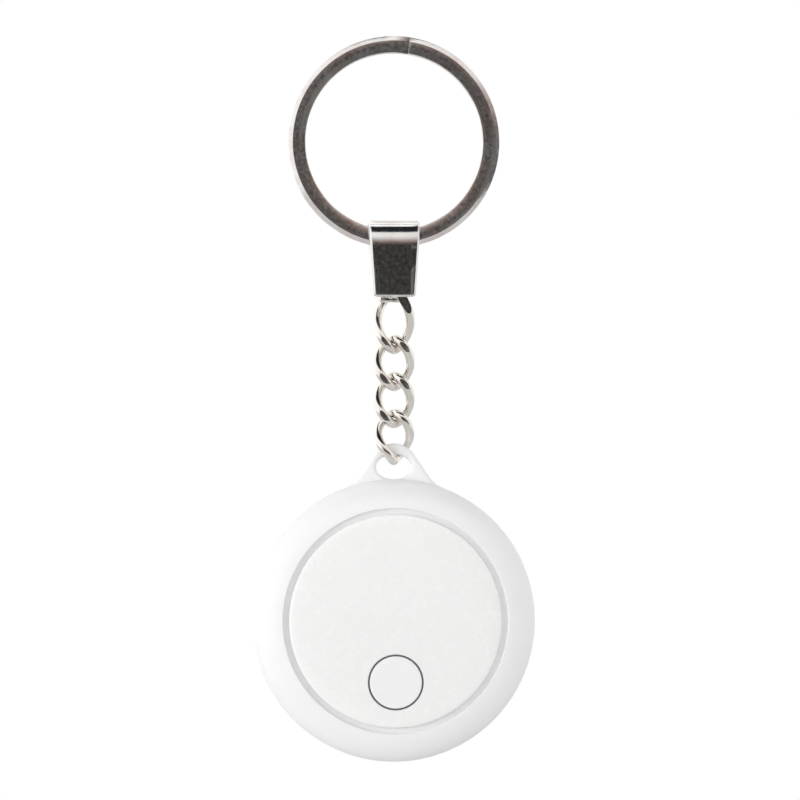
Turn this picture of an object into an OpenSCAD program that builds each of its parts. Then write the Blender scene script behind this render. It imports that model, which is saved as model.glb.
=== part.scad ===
// Bluetooth tracker tag hanging from its split key ring: ring, folded clasp, four twisted curb links
// and a round white tag. The tag hangs at rest with its face towards -Y and +Z up, and the origin is
// the centre of the key ring.

/* [Key ring] */
// Outside diameter of the split ring
ring_od = 30; // [26:1:34]
// Radial width of the flat ring band
ring_band = 2.45; // [2:0.05:3]
// Thickness of each of the ring's two turns
ring_turn = 0.95; // [0.7:0.05:1.1]
// Gap between the two turns
ring_gap = 0.1; // [0.05:0.05:0.2]
// Where the turns cross over, measured clockwise from the top, in degrees
ring_cross_at = 15; // [5:5:60]

/* [Clasp] */
// Width of the clasp at its top
clasp_top_w = 7.36; // [6:0.1:8]
// Width of the clasp's front plate at its bottom
clasp_bottom_w = 5.97; // [5:0.1:7]
// Height of the clasp's front plate
clasp_h = 10.85; // [10:0.1:12]
// Thickness of the folded sheet
sheet = 0.65; // [0.5:0.05:0.7]
// Width of the tongue that carries the chain
tongue_w = 4.2; // [4:0.1:5]

/* [Chain] */
// Diameter of the link wire
wire = 1.35; // [1.2:0.05:1.5]
// Outside width of a link
link_w = 6; // [5.6:0.1:6.6]
// Outside length of links 2, 3 and 4
link_l = 8.05; // [7.8:0.05:8.6]
// How far each bend of a link is turned out of the chain's plane, in degrees
link_turn = 45; // [35:5:45]
// The same for the first link's top bend, in the clasp
first_turn = 60; // [55:1:62]
// The same for the last link's bottom bend, in the lug
last_turn = 72; // [72:1:78]
// Distance between the ground flats on a link's front and back
link_depth = 2.84; // [2.7:0.02:3.2]
// Play where one link bears on the next
play = 0.1; // [0.05:0.01:0.15]

/* [Tag] */
// Diameter of the tag
tag_d = 40; // [38:1:44]
// Thickness of the tag from its face to its back
tag_t = 9.2; // [9.2:0.1:10]
// Diameter of the raised face disc
face_d = 30.1; // [28:0.1:31]
// Width of the groove round the face disc
groove_w = 0.9; // [0.6:0.1:1.2]
// Thickness of the lug that the chain passes through
lug_t = 1.3; // [1.2:0.05:1.3]

/* [Button] */
// Diameter of the button
button_d = 7.4; // [6:0.1:8]
// How far the button's centre is below the tag's centre
button_drop = 8.64; // [8:0.1:9]
// Width of the grey seal that shows round the button
seal_w = 0.17; // [0.15:0.01:0.3]

/* [Hidden] */
$fn = 96;
tiny = 0.01;

// Ring
ring_r = ring_od / 2;
ring_in = ring_r - ring_band;
ring_half = ring_turn + ring_gap / 2;
ring_mid = ring_r - ring_band / 2;
cross_arc = 3.4;
ring_bevel_out = 0.45;
ring_bevel_in = 0.35;

// Clasp: its folded strip seen from the side, as distances back from the ring's plane and heights.
// The loop's inside just clears the ring's inner edge where the clasp's sides meet it.
clasp_clear = 0.2;
clasp_top = -sqrt(pow(ring_in, 2) - pow(clasp_top_w / 2, 2)) + clasp_clear + sheet;
clasp_low = clasp_top - clasp_h;
loop_r = 2.1;
loop_z = clasp_top - sheet / 2 - loop_r;
pinch_y = -loop_r + sheet - tiny;
pinch_z = loop_z - 4.3;
tongue_z = pinch_z - 2.1;
tongue_low = clasp_low - 0.75;
tongue_bar = 0.72;
tongue_hole_w = 3.1;
strip_bend = 0.7;

// Chain: each link's top bend bears on the bend or bar above it
loop_a = (link_w - wire) / 2;
link_pitch = link_l - 2 * wire - play;
bottom_1 = tongue_low - 7.35;
top_1 = tongue_low + tongue_bar + 4 * play + wire;
rings_per_link = 56;
wire_sides = 14;

// Tag: heights are measured forwards from the lug's mid-plane, so -Y is up in the tag's own frame
tag_r = tag_d / 2;
front_h = tag_t / 2;
back_h = -tag_t / 2;
face_r = face_d / 2;
groove_r = face_r + groove_w;
face_edge_h = front_h - 0.6;
ledge_h = front_h - 1.3;
ledge_t = 0.8;
ledge_r = 12.9;
part_h = 1.2;
wall_in = tag_r - 1.4;
board_h = 0.1;
board_t = 0.8;
board_r = 16.2;
board_top = board_h + board_t;
post_r = 15.2;
button_r = button_d / 2;
seal_in = button_r + 0.08;
seal_out = seal_in + seal_w;
cell_r = 10;
cell_top = -0.15;
cell_t = 3.2;
cover_r = 13.3;
cover_t = 1;
recess_r = cover_r + 0.2;
lug_z = 21.6;
lug_r = 3.5;
lug_slope = 34;
lug_fillet = 5;
lug_ease = 0.45;
hole_w = 5;
hole_h = 3.5;
hole_z = tag_r + hole_h / 2;
// The lug's top bar rests on the last link's bottom bend
bottom_4 = bottom_1 - 3 * link_pitch;
tag_z = bottom_4 + wire + 1.5 * play - hole_z - hole_h / 2;
switch_w = 4.6;
switch_h = 1.2;
buzzer_r = 6.5;
buzzer_y = 6;

function arc(c, r, a0, a1, n = 16) = [
  for (i = [0 : n]) [c[0] + r * cos(a0 + (a1 - a0) * i / n), c[1] + r * sin(a0 + (a1 - a0) * i / n)]
];
function unit(v) = v / norm(v);
function turn_left(v) = [-v[1], v[0]];
// Rounds a path's corner q between p and s with a bend of radius r
function bend(p, q, s, r, n = 6) =
  let (a = unit(q - p), b = unit(s - q), half = acos(a * b) / 2)
  let (side = (a[0] * b[1] - a[1] * b[0]) > 0 ? 1 : -1)
  let (c = q - a * r * tan(half) + turn_left(a) * side * r)
  let (from = atan2(a[1], a[0]) - 90 * side)
  [for (i = [0 : n]) c + r * [cos(from + side * 2 * half * i / n), sin(from + side * 2 * half * i / n)]];
function at_end(p, i) = i == 0 ? p[1] - p[0] : i == len(p) - 1 ? p[i] - p[i - 1] : p[i + 1] - p[i - 1];
function beside(p, d) = [for (i = [0 : len(p) - 1]) p[i] + turn_left(unit(at_end(p, i))) * d];
function backwards(p) = [for (i = [len(p) - 1 : -1 : 0]) p[i]];

// A flat strip of thickness t that follows a path
module strip_section(path, t) {
  polygon(concat(beside(path, t / 2), backwards(beside(path, -t / 2))));
}

// Turns a section drawn as [back from the ring's plane, height] into a strip of width w across X
module across(w) {
  rotate([90, 0, 90])
    linear_extrude(height = w, center = true)
      children();
}

// Turns a drawing of X and Z into a plate from y0 to y1
module plate(y0, y1) {
  translate([0, y1, 0])
    rotate([90, 0, 0])
      linear_extrude(height = y1 - y0)
        children();
}

// The tag's own frame: X across, Y up, Z forwards out of the face
module on_tag() {
  translate([0, 0, tag_z])
    rotate([90, 0, 0])
      children();
}

module disc(r, low, high) {
  translate([0, 0, low])
    cylinder(r = r, h = high - low);
}

module ring(r_in, r_out, low, high) {
  difference() {
    disc(r_out, low, high);
    disc(r_in, low - 1, high + 1);
  }
}

module block(x, y, w, l, low, high) {
  translate([x - w / 2, y - l / 2, low])
    cube([w, l, high - low]);
}

module key_ring() {
  color([0.45, 0.42, 0.40])
    rotate([90, 0, 0])
      difference() {
        rotate_extrude()
          polygon([
            [ring_in + ring_bevel_in, -ring_half],
            [ring_r - ring_bevel_out, -ring_half],
            [ring_r, -ring_half + ring_bevel_out],
            [ring_r, ring_half - ring_bevel_out],
            [ring_r - ring_bevel_out, ring_half],
            [ring_in + ring_bevel_in, ring_half],
            [ring_in, ring_half - ring_bevel_in],
            [ring_in, -ring_half + ring_bevel_in]
          ]);
        ring_slits();
      }
}

// One cut parts the two turns all round, except where the strip crosses from one turn to the other
module ring_slits() {
  half = asin(cross_arc / 2 / ring_mid);
  climb = atan(ring_half / cross_arc);
  slant = norm([cross_arc, ring_half]);
  rotate([0, 0, 90 - ring_cross_at + half])
    rotate_extrude(angle = 360 - 2 * half)
      translate([ring_in - 1, -ring_gap / 2])
        square([ring_band + 2, ring_gap]);
  rotate([0, 0, 90 - ring_cross_at])
    translate([ring_mid, 0, 0])
      for (s = [-1, 1])
        translate([0, 0, s * ring_half / 2])
          rotate([climb, 0, 0])
            cube([ring_band + 2, slant, ring_gap], center = true);
}

// The front plate and the loop over the ring
function front_path() = concat(
  [[-loop_r, clasp_low]],
  arc([0, loop_z], loop_r, 180, 0, 20),
  [[loop_r, loop_z - 0.8]]
);

// The rear comes in to the front plate, is pinched to it, and steps back to the tongue
function rear_path() =
  let (start = [loop_r, loop_z - 0.7], knee = [loop_r, loop_z - 1.5])
  let (pinch_in = [pinch_y, pinch_z], pinch_out = [pinch_y, pinch_z - 0.8])
  let (tongue_in = [0, tongue_z], end = [0, tongue_low])
  concat(
    [start],
    bend(start, knee, pinch_in, strip_bend),
    bend(knee, pinch_in, pinch_out, strip_bend),
    bend(pinch_in, pinch_out, tongue_in, strip_bend),
    bend(pinch_out, tongue_in, end, strip_bend),
    [end]
  );

module clasp() {
  color([0.30, 0.30, 0.31])
    difference() {
      intersection() {
        across(clasp_top_w + 1) {
          strip_section(front_path(), sheet);
          strip_section(rear_path(), sheet);
        }
        plate(-4, 4)
          clasp_outline();
      }
      for (s = [-1, 1])
        plate(-loop_r + sheet / 2 + 0.05, 4)
          beside_tongue(s);
      plate(-1, 1)
        tongue_hole();
    }
}

// The front plate narrows downwards and has rounded corners, and the tongue reaches below it
module clasp_outline() {
  corner = 0.5;
  side = clasp_bottom_w / 2 - corner;
  polygon(concat(
    [
      [-clasp_top_w / 2, clasp_top + 1],
      [clasp_top_w / 2, clasp_top + 1],
      [clasp_top_w / 2, clasp_top]
    ],
    arc([side, clasp_low + corner], corner, 0, -90, 6),
    [
      [tongue_w / 2, clasp_low],
      [tongue_w / 2, tongue_low - 1],
      [-tongue_w / 2, tongue_low - 1],
      [-tongue_w / 2, clasp_low]
    ],
    arc([-side, clasp_low + corner], corner, -90, -180, 6),
    [[-clasp_top_w / 2, clasp_top]]
  ));
}

// What is cut away on one side of the tongue, behind the front plate
module beside_tongue(s) {
  neck = pinch_z - 0.8;
  polygon([
    [s * clasp_top_w, neck],
    [s * (clasp_bottom_w / 2 + 0.3), neck],
    [s * tongue_w / 2, neck - 1],
    [s * tongue_w / 2, tongue_low - 1],
    [s * clasp_top_w, tongue_low - 1]
  ]);
}

module tongue_hole() {
  corner = 0.8;
  low = tongue_low + tongue_bar;
  high = tongue_z - 0.1;
  side = tongue_hole_w / 2 - corner;
  polygon(concat(
    arc([side, low + corner], corner, -90, 0, 6),
    arc([side, high - corner], corner, 0, 90, 6),
    arc([-side, high - corner], corner, 90, 180, 6),
    arc([-side, low + corner], corner, 180, 270, 6)
  ));
}

// A curb link's wire follows an ellipse that is twisted about the chain's line: its top bend is
// turned by the upper angle one way, and its bottom bend by the lower angle the other way
function spin_at(t, upper, lower) = (lower - upper) / 2 - (lower + upper) / 2 * sin(t);
function loop_point(t, b, upper, lower) =
  let (x = loop_a * cos(t), turn = spin_at(t, upper, lower))
  [x * cos(turn), x * sin(turn), b * sin(t)];
function wire_ring(t, b, upper, lower) =
  let (turn = spin_at(t, upper, lower), centre = loop_point(t, b, upper, lower))
  let (along = unit(loop_point(t + 1, b, upper, lower) - loop_point(t - 1, b, upper, lower)))
  let (side = unit(cross(along, [-sin(turn), cos(turn), 0])), up = cross(side, along))
  [for (j = [0 : wire_sides - 1]) let (u = 360 * j / wire_sides) centre + wire / 2 * (side * cos(u) + up * sin(u))];

module link(top, bottom, upper = link_turn, lower = link_turn) {
  b = (top - bottom - wire) / 2;
  rings = [for (i = [0 : rings_per_link - 1]) wire_ring(360 * i / rings_per_link, b, upper, lower)];
  points = [for (r = rings) each r];
  faces = [
    for (i = [0 : rings_per_link - 1])
      for (j = [0 : wire_sides - 1])
        let (k = (i + 1) % rings_per_link, m = (j + 1) % wire_sides)
        [i * wire_sides + j, i * wire_sides + m, k * wire_sides + m, k * wire_sides + j]
  ];
  color([0.80, 0.78, 0.75])
    translate([0, 0, (top + bottom) / 2])
      intersection() {
        polyhedron(points = points, faces = faces, convexity = 6);
        link_flats(top - bottom, lower > link_turn);
      }
}

// The flats are ground on the front and back. A link opened to pass the lug has none at its bottom.
module link_flats(l, opened) {
  cube([link_w + 1, link_depth, l + 1], center = true);
  if (opened)
    translate([0, 0, -l / 2])
      cube([link_w + 1, link_w + 1, l], center = true);
}

module link_1() {
  link(top_1, bottom_1, upper = first_turn);
}

module link_2() {
  link(bottom_1 - link_pitch + link_l, bottom_1 - link_pitch);
}

module link_3() {
  link(bottom_1 - 2 * link_pitch + link_l, bottom_1 - 2 * link_pitch);
}

module link_4() {
  link(bottom_4 + link_l, bottom_4, lower = last_turn);
}

// The bezel's front is a quarter of an oval: flat by the groove and steep at the rim
function bezel_front() =
  let (a0 = 12, a1 = 78, lip_h = front_h - 0.45)
  let (across_r = (tag_r - groove_r) / (sin(a1) - sin(a0)), down = (lip_h - part_h) / (cos(a0) - cos(a1)))
  let (r0 = groove_r - across_r * sin(a0), h0 = part_h - down * cos(a1))
  [for (i = [0 : 20]) let (a = a0 + (a1 - a0) * i / 20) [r0 + across_r * sin(a), h0 + down * cos(a)]];

module front_bezel() {
  skirt_out = wall_in - 0.15;
  skirt_in = skirt_out - 0.9;
  color([0.93, 0.93, 0.93])
    on_tag()
      difference() {
        union() {
          rotate_extrude()
            polygon(concat(
              bezel_front(),
              [
                [skirt_out, part_h],
                [skirt_out, -0.4],
                [skirt_in, -0.4],
                [skirt_in, part_h + 1],
                [skirt_in - 0.8, ledge_h - ledge_t],
                [ledge_r, ledge_h - ledge_t],
                [ledge_r, ledge_h],
                [groove_r, ledge_h]
              ]
            ));
          for (a = [20, 160, 200, 340])
            rotate([0, 0, a])
              translate([post_r, 0, 0])
                disc(0.8, board_top, ledge_h - ledge_t + tiny);
        }
        translate([0, -button_drop, 0])
          disc(seal_out + 1.5, ledge_h - ledge_t - 1, ledge_h + tiny);
      }
}

// The face is flat in the middle and rolls over towards its edge
function face_at(r) = face_edge_h + (front_h - face_edge_h) * sqrt(1 - pow(r / face_r, 4));

module face_solid(low, drop) {
  steps = 24;
  rotate_extrude()
    polygon(concat(
      [[0, low], [face_r, low]],
      [for (i = [0 : steps]) let (r = face_r * cos(90 * i / steps)) [r, face_at(r) - drop]]
    ));
}

module face_disc() {
  color([0.96, 0.96, 0.95])
    on_tag()
      difference() {
        face_solid(ledge_h, 0);
        translate([0, -button_drop, 0])
          disc(seal_out, ledge_h - 1, front_h + 1);
      }
}

module button_cap() {
  flange_h = ledge_h - 0.28;
  color([0.97, 0.97, 0.96])
    on_tag() {
      intersection() {
        face_solid(flange_h - 0.1, 0);
        translate([0, -button_drop, 0])
          disc(button_r, flange_h - tiny, front_h + 1);
      }
      translate([0, -button_drop, 0])
        disc(button_r + 0.8, ledge_h - 0.6, flange_h);
    }
}

module button_seal() {
  sunk = 0.12;
  color([0.45, 0.45, 0.46])
    on_tag() {
      intersection() {
        face_solid(ledge_h - 0.3, sunk);
        translate([0, -button_drop, 0])
          ring(seal_in, seal_out, ledge_h - 0.2, front_h + 1);
      }
      translate([0, -button_drop, 0])
        ring(seal_in, seal_out + 0.95, ledge_h - 0.2, ledge_h);
    }
}

// The lug's sides fall from its round top and run into the case in a hollow curve
function lug_flanks() =
  let (n = [cos(lug_slope), sin(lug_slope)], t = [sin(lug_slope), -cos(lug_slope)])
  let (reach = n * [0, lug_z] + lug_r + lug_fillet, far = tag_r + lug_fillet)
  let (c = n * reach - t * sqrt(far * far - reach * reach), foot = atan2(c[1], c[0]))
  let (top = [0, lug_z] + n * (lug_r - lug_ease / 2))
  let (right = concat([top], arc(c, lug_fillet, 180 + lug_slope, 180 + foot, 8), [[c[0] * tag_r / far, tag_r - 4]]))
  concat(right, [for (i = [len(right) - 1 : -1 : 0]) [-right[i][0], right[i][1]]]);

function hole_outline() = [for (i = [0 : 47]) [hole_w / 2 * cos(7.5 * i), hole_h / 2 * sin(7.5 * i)]];

module rear_housing() {
  corner = 3;
  inner = corner - 1.4;
  color([0.92, 0.92, 0.92])
    on_tag() {
      rotate_extrude()
        polygon(concat(
          [[wall_in, part_h], [tag_r, part_h]],
          arc([tag_r - corner, back_h + corner], corner, 0, -90, 12),
          [
            [recess_r, back_h],
            [recess_r, back_h + 1.4],
            [recess_r - 1.2, back_h + 1.4],
            [recess_r - 1.2, back_h + 2.4],
            [recess_r + 1.2, back_h + 2.4],
            [recess_r + 1.2, back_h + 1.4]
          ],
          arc([tag_r - corner, back_h + corner], inner, -90, 0, 8)
        ));
      for (a = [45, 135, 225, 315])
        rotate([0, 0, a])
          translate([post_r, 0, 0]) {
            disc(0.9, back_h + 1.3, board_h);
            disc(0.5, board_h - tiny, board_top - 0.1);
          }
      difference() {
        union() {
          translate([0, 0, -lug_t / 2])
            linear_extrude(height = lug_t)
              polygon(lug_flanks());
          translate([0, lug_z, 0])
            rotate_extrude()
              polygon([
                [0, -lug_t / 2],
                [lug_r - lug_ease, -lug_t / 2],
                [lug_r, -lug_t / 2 + lug_ease],
                [lug_r, lug_t / 2 - lug_ease],
                [lug_r - lug_ease, lug_t / 2],
                [0, lug_t / 2]
              ]);
        }
        disc(wall_in, -2, 2);
        lug_hole();
      }
    }
}

// The hole is eased towards both faces so that the link's bend lies in it
module lug_hole() {
  wider = [1 + 2 * lug_ease / hole_w, 1 + 2 * lug_ease / hole_h];
  translate([0, hole_z, -lug_t])
    linear_extrude(height = 2 * lug_t)
      polygon(hole_outline());
  for (s = [0, 1])
    mirror([0, 0, s])
      translate([0, hole_z, lug_t / 2 - lug_ease])
        linear_extrude(height = lug_ease + tiny, scale = wider, slices = 1, $fn = 8)
          polygon(hole_outline());
}

module rear_cover() {
  notch = 1.6;
  edge = 0.3;
  color([0.92, 0.92, 0.92])
    on_tag()
      difference() {
        union() {
          rotate_extrude()
            polygon([
              [0, back_h],
              [cover_r - edge, back_h],
              [cover_r, back_h + edge],
              [cover_r, back_h + cover_t],
              [0, back_h + cover_t]
            ]);
          ring(recess_r - 2, recess_r - 1.5, back_h + cover_t - tiny, back_h + 2);
        }
        translate([0, -cover_r - 0.6, 0])
          disc(notch, back_h - 1, back_h + 0.6);
      }
}

module cover_gasket() {
  color([0.20, 0.20, 0.21])
    on_tag()
      ring(recess_r - 1.15, recess_r - 0.3, back_h + cover_t + 0.05, back_h + 1.4);
}

module circuit_board() {
  color([0.10, 0.35, 0.20])
    on_tag()
      difference() {
        disc(board_r, board_h, board_top);
        for (a = [45, 135, 225, 315])
          rotate([0, 0, a])
            translate([post_r, 0, 0])
              disc(0.6, board_h - 1, board_top + 1);
        translate([0, board_r + 0.6, 0])
          disc(1.5, board_h - 1, board_top + 1);
      }
}

module cell_carrier() {
  outer = 11.2;
  color([0.13, 0.13, 0.14])
    on_tag()
      difference() {
        ring(cell_r + 0.15, outer, cell_top - 2.75, board_h);
        block(outer, 0, 4, 4, cell_top - 4, board_h + 1);
        block(-outer, 0, 4, 2.6, -0.4, board_h + 1);
      }
}

module cell_can() {
  low = cell_top - cell_t;
  rim = cell_top - 0.2;
  lip = 8.9;
  color([0.75, 0.75, 0.76])
    on_tag()
      rotate_extrude()
        polygon([
          [0, low],
          [cell_r - 0.3, low],
          [cell_r, low + 0.3],
          [cell_r, rim - 0.2],
          [cell_r - 0.2, rim],
          [lip, rim],
          [lip, rim - 0.27],
          [cell_r - 0.25, rim - 0.27],
          [cell_r - 0.25, rim - 1.25],
          [0, rim - 1.25]
        ]);
}

module cell_cap() {
  r = 8.6;
  low = cell_top - 1.43;
  color([0.78, 0.78, 0.79])
    on_tag()
      rotate_extrude()
        polygon([
          [0, cell_top],
          [r - 0.3, cell_top],
          [r, cell_top - 0.3],
          [r, low],
          [r - 0.25, low],
          [r - 0.25, cell_top - 0.3],
          [0, cell_top - 0.3]
        ]);
}

module cell_gasket() {
  rim = cell_top - 0.2;
  color([0.25, 0.25, 0.30])
    on_tag()
      rotate_extrude()
        polygon([
          [8.62, rim - 0.02],
          [8.88, rim - 0.02],
          [8.88, rim - 0.29],
          [cell_r - 0.27, rim - 0.29],
          [cell_r - 0.27, rim - 1.23],
          [8.62, rim - 1.23]
        ]);
}

// A strip that stands against the cell's side and is soldered to the board
module positive_contact() {
  t = 0.2;
  color([0.80, 0.70, 0.45])
    on_tag() {
      block(cell_r + 0.02 + t / 2, 0, t, 2.8, cell_top - 2.3, board_h);
      block(cell_r + 1.9, 0, 3.6, 2.8, board_h - t, board_h);
    }
}

// A leaf with three dimples that press on the cell's cap
module negative_contact() {
  t = 0.15;
  low = board_h - t;
  color([0.80, 0.70, 0.45])
    on_tag() {
      ring(3.2, 6.6, low, board_h);
      block(-8.9, 0, 5.6, 2.2, low, board_h);
      for (a = [60, 180, 300])
        rotate([0, 0, a])
          translate([4.9, 0, 0])
            disc(0.8, cell_top, low + tiny);
    }
}

module bluetooth_chip() {
  color([0.10, 0.10, 0.11])
    on_tag()
      difference() {
        block(-6.5, -2, 5, 5, board_top, board_top + 0.85);
        translate([-8.4, -0.1, 0])
          disc(0.3, board_top + 0.75, board_top + 1);
      }
}

module crystal() {
  color([0.75, 0.74, 0.70])
    on_tag() {
      block(-6.5, -6.6, 3.2, 2.5, board_top, board_top + 0.35);
      block(-6.5, -6.6, 2.8, 2.1, board_top + 0.34, board_top + 0.7);
    }
}

module chip_antenna() {
  color([0.90, 0.90, 0.88])
    on_tag()
      rotate([0, 0, 40])
        block(12, 0, 2, 7, board_top, board_top + 0.8);
}

module indicator_led() {
  color([0.95, 0.95, 0.80])
    on_tag() {
      block(5.5, -3.4, 1.6, 0.8, board_top, board_top + 0.25);
      block(5.5, -3.4, 1, 0.8, board_top + 0.24, board_top + 0.6);
    }
}

module capacitors() {
  color([0.62, 0.50, 0.38])
    on_tag()
      for (i = [0 : 4])
        for (j = [0, 1])
          block(-3 + 1.6 * j, -4.6 + 1.2 * i, 1, 0.5, board_top, board_top + 0.5);
}

module switch_base() {
  color([0.12, 0.12, 0.13])
    on_tag()
      translate([0, -button_drop, 0])
        difference() {
          block(0, 0, switch_w, switch_w, board_top, board_top + switch_h);
          disc(1.9, board_top + 0.2, board_top + switch_h + 1);
        }
}

// A domed snap disc, shown lying flat on the base
module switch_dome() {
  color([0.80, 0.80, 0.82])
    on_tag()
      translate([0, -button_drop, 0])
        disc(1.7, board_top + 0.2, board_top + 0.28);
}

module switch_plunger() {
  color([0.85, 0.85, 0.85])
    on_tag()
      translate([0, -button_drop, 0]) {
        disc(1.7, board_top + 0.55, board_top + 0.85);
        disc(1.2, board_top + 0.84, ledge_h - 0.6);
      }
}

module switch_frame() {
  top = board_top + switch_h;
  t = 0.1;
  color([0.78, 0.78, 0.80])
    on_tag()
      translate([0, -button_drop, 0]) {
        difference() {
          block(0, 0, switch_w + 2 * t, switch_w, top, top + t);
          disc(1.35, top - 1, top + 1);
        }
        for (s = [-1, 1])
          block(s * (switch_w + t) / 2, 0, t, 2.4, top - 0.7, top + tiny);
      }
}

module buzzer_tape() {
  color([0.85, 0.80, 0.55])
    on_tag()
      translate([0, buzzer_y, 0])
        ring(buzzer_r - 1.2, buzzer_r, ledge_h - 0.15, ledge_h);
}

module buzzer_plate() {
  color([0.80, 0.62, 0.30])
    on_tag()
      translate([0, buzzer_y, 0])
        disc(buzzer_r, ledge_h - 0.3, ledge_h - 0.15);
}

module buzzer_ceramic() {
  color([0.88, 0.86, 0.80])
    on_tag()
      translate([0, buzzer_y, 0])
        disc(4.5, ledge_h - 0.45, ledge_h - 0.3);
}

// Two bent strips carry the current from the board to the buzzer's plate and ceramic
module buzzer_springs() {
  color([0.80, 0.70, 0.45])
    on_tag() {
      buzzer_spring(5.5, ledge_h - 0.3);
      buzzer_spring(-1.5, ledge_h - 0.45);
    }
}

module buzzer_spring(x, top) {
  t = 0.14;
  foot = board_top + t / 2;
  head = top - t / 2;
  corners = [[-0.9, foot], [0.7, foot], [-0.5, head], [0.6, head]];
  path = concat(
    [corners[0]],
    bend(corners[0], corners[1], corners[2], 0.2, 4),
    bend(corners[1], corners[2], corners[3], 0.2, 4),
    [corners[3]]
  );
  translate([x, buzzer_y + 0.5, 0])
    rotate([90, 0, 0])
      linear_extrude(height = 1)
        strip_section(path, t);
}

key_ring();
clasp();
link_1();
link_2();
link_3();
link_4();
front_bezel();
face_disc();
button_cap();
button_seal();
rear_housing();
rear_cover();
cover_gasket();
circuit_board();
cell_carrier();
cell_can();
cell_cap();
cell_gasket();
positive_contact();
negative_contact();
bluetooth_chip();
crystal();
chip_antenna();
indicator_led();
capacitors();
switch_base();
switch_dome();
switch_plunger();
switch_frame();
buzzer_plate();
buzzer_ceramic();
buzzer_tape();
buzzer_springs();
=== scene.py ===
# %% [markdown]
# # A bluetooth tracker tag on its key ring
# The object is a round white tag that hangs from a steel split ring by a folded clasp and four
# twisted links. A CAD frame already fixes every size, place and joint. This lesson models what
# shows (ring, clasp, links and the tag's shells) as finer meshes that stand for the CAD solids,
# and gives the parts inside the tag a proper finish where they are.

# %% The fixed frame
import math

import bmesh
import bpy
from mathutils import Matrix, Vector


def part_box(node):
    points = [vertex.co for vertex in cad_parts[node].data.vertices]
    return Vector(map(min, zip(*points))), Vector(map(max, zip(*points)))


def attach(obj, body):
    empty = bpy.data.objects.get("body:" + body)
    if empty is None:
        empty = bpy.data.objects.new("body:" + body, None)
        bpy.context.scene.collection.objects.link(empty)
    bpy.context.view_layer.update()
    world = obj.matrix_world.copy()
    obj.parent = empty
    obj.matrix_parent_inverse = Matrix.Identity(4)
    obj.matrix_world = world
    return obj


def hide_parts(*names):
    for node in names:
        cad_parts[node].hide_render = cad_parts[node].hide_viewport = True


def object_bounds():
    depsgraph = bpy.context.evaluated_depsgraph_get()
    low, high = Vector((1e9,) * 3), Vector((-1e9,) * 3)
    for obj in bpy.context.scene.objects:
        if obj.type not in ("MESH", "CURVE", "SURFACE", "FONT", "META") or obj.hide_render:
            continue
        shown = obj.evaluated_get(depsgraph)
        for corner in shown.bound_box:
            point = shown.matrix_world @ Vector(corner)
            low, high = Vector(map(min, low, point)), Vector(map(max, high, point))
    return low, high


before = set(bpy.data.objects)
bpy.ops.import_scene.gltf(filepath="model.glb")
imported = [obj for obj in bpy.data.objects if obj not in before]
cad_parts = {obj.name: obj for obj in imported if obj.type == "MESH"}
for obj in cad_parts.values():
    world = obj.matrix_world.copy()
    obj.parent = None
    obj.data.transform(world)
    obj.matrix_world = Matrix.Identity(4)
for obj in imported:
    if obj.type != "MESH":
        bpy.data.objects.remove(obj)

cad_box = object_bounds()
print("CAD box, low and high corner:", [round(v, 4) for corner in cad_box for v in corner])

# %% [markdown]
# ## Measures
# Everything below is thought out in millimetres, as on a drawing, and becomes metres at the last
# step. Outside sizes and places are read off the CAD nodes, so nothing has to be fitted by eye.
# The tag has a frame of its own: a radius from its axis, and a height that runs forwards out of
# its face, which looks towards -Y.

# %% Measures read off the frame
MM = 0.001


def box_mm(node):
    """A CAD node's lowest and highest corners, in millimetres."""
    low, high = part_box(node)
    return low / MM, high / MM


ring_high = box_mm("key_ring")[1]
clasp_low, clasp_high = box_mm("clasp")
bezel_low, bezel_high = box_mm("front_bezel")
face_low, face_high = box_mm("face_disc")
seal_low, seal_high = box_mm("button_seal")
back_low, back_high = box_mm("rear_housing")

ring_r = ring_high.x
ring_half = ring_high.y
tag_r = bezel_high.x
tag_z = (bezel_low.z + bezel_high.z) / 2
face_r = face_high.x
front_h = -face_low.y
ledge_h = -face_high.y
back_h = -back_high.y
part_h = -back_low.y
button_z = (seal_low.z + seal_high.z) / 2
tag_axis = Vector((0, 0, tag_z))
button_axis = Vector((0, 0, button_z))
print(f"ring radius {ring_r:.2f}, tag radius {tag_r:.2f}, tag centre at z {tag_z:.2f} mm")

# %% [markdown]
# ## The camera
# The object is seen from the front with a long lens, level with the middle of the chain, and a
# few degrees from the left, so that the left walls of the ring and the tag just show.

# %% Camera
camera_distance = 0.95
camera_turn = math.radians(4)
frame_width = 0.1135
looked_at = Vector((0.0009, 0, -0.0366))

camera_from = Vector((-math.sin(camera_turn), -math.cos(camera_turn), 0))
bpy.ops.object.select_all(action="DESELECT")
bpy.ops.object.camera_add(location=looked_at + camera_distance * camera_from)
camera = bpy.context.object
camera.rotation_euler = (-camera_from).to_track_quat("-Z", "Y").to_euler()
camera.data.sensor_width = 36
camera.data.lens = camera.data.sensor_width * camera_distance / frame_width
camera.data.clip_start = 0.01
bpy.context.scene.camera = camera
print(f"camera lens {camera.data.lens:.0f} mm")

# %% [markdown]
# ## Tools for the bench
# Most of this object is turned or swept. Each piece starts as one vertex that is extruded along
# an outline, which a spin then carries round an axis. The helpers round the corners of an
# outline, draw it, spin it, and cut or join solids with a Boolean.

# %% Outlines with rounded corners
weld = 0.001 * MM


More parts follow.
